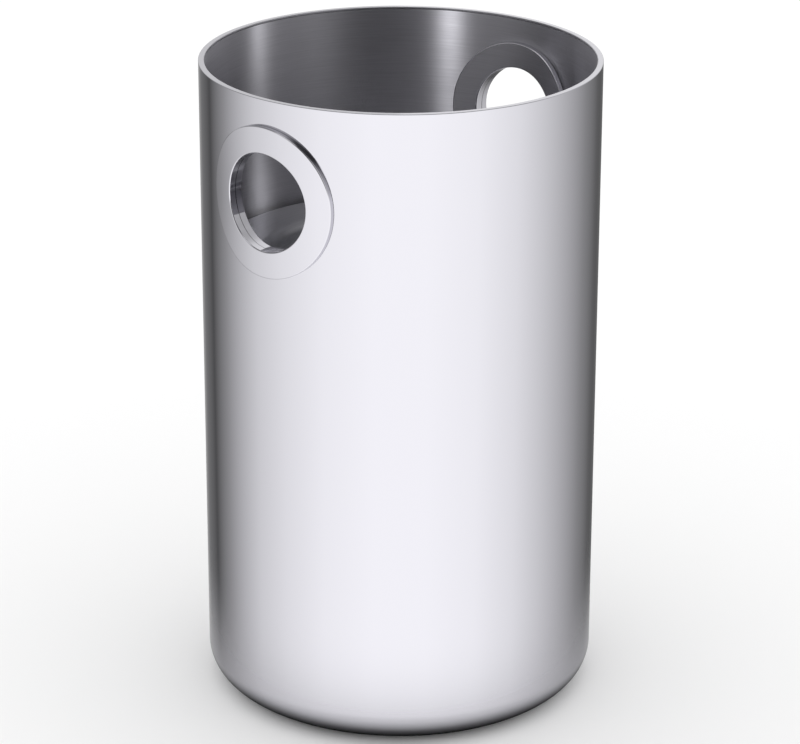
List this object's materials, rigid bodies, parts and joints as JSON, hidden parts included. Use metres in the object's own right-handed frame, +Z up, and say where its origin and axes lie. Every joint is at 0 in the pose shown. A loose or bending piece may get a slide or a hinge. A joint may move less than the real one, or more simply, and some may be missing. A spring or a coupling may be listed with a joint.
{
  "type": "champagne bucket stand",
  "caption": "Tall round double-skinned steel stand with ring handles set in its wall and a lift-out tray inside that carries a champagne bucket.",
  "frame": {"origin": "centre of the surface that the stand rests on, under its foot ring", "axes": "+Z up along the stand's axis; the ring handles face -Y (front) and +Y (back)"},
  "size_m": [0.24, 0.2462, 0.398],
  "materials": {
    "polished_steel": "mirror-polished stainless steel",
    "brushed_steel": "brushed stainless steel, grain running round the wall",
    "satin_steel": "satin stainless steel",
    "mill_steel": "mill-finish stainless steel, hidden",
    "zinc_steel": "zinc-plated steel, hidden",
    "silicone": "translucent grey silicone, matte",
    "rubber": "black rubber, matte"
  },
  "bodies": {
    "stand": {"outer_shell": "polished_steel", "inner_liner": "brushed_steel", "rim_ring": "polished_steel", "skin_spacer_lower": "mill_steel", "skin_spacer_middle": "mill_steel", "handle_ring_outer_front": "polished_steel", "handle_ring_inner_front": "brushed_steel", "handle_spacer_front": "mill_steel", "handle_ring_outer_back": "polished_steel", "handle_ring_inner_back": "brushed_steel", "handle_spacer_back": "mill_steel", "tray_bracket_1": "satin_steel", "tray_bracket_2": "satin_steel", "tray_bracket_3": "satin_steel", "tray_bracket_4": "satin_steel", "tray_pad_1": "silicone", "tray_pad_2": "silicone", "tray_pad_3": "silicone", "tray_pad_4": "silicone", "ballast_pan": "mill_steel", "ballast_disc": "zinc_steel", "foot_ring": "rubber"},
    "tray": {"bucket_tray": "satin_steel"}
  },
  "joints": [
    {"name": "tray_lift", "type": "slide", "parent": "stand", "child": "tray", "axis": [0, 0, 1], "range_m": [0, 0.16]}
  ]
}
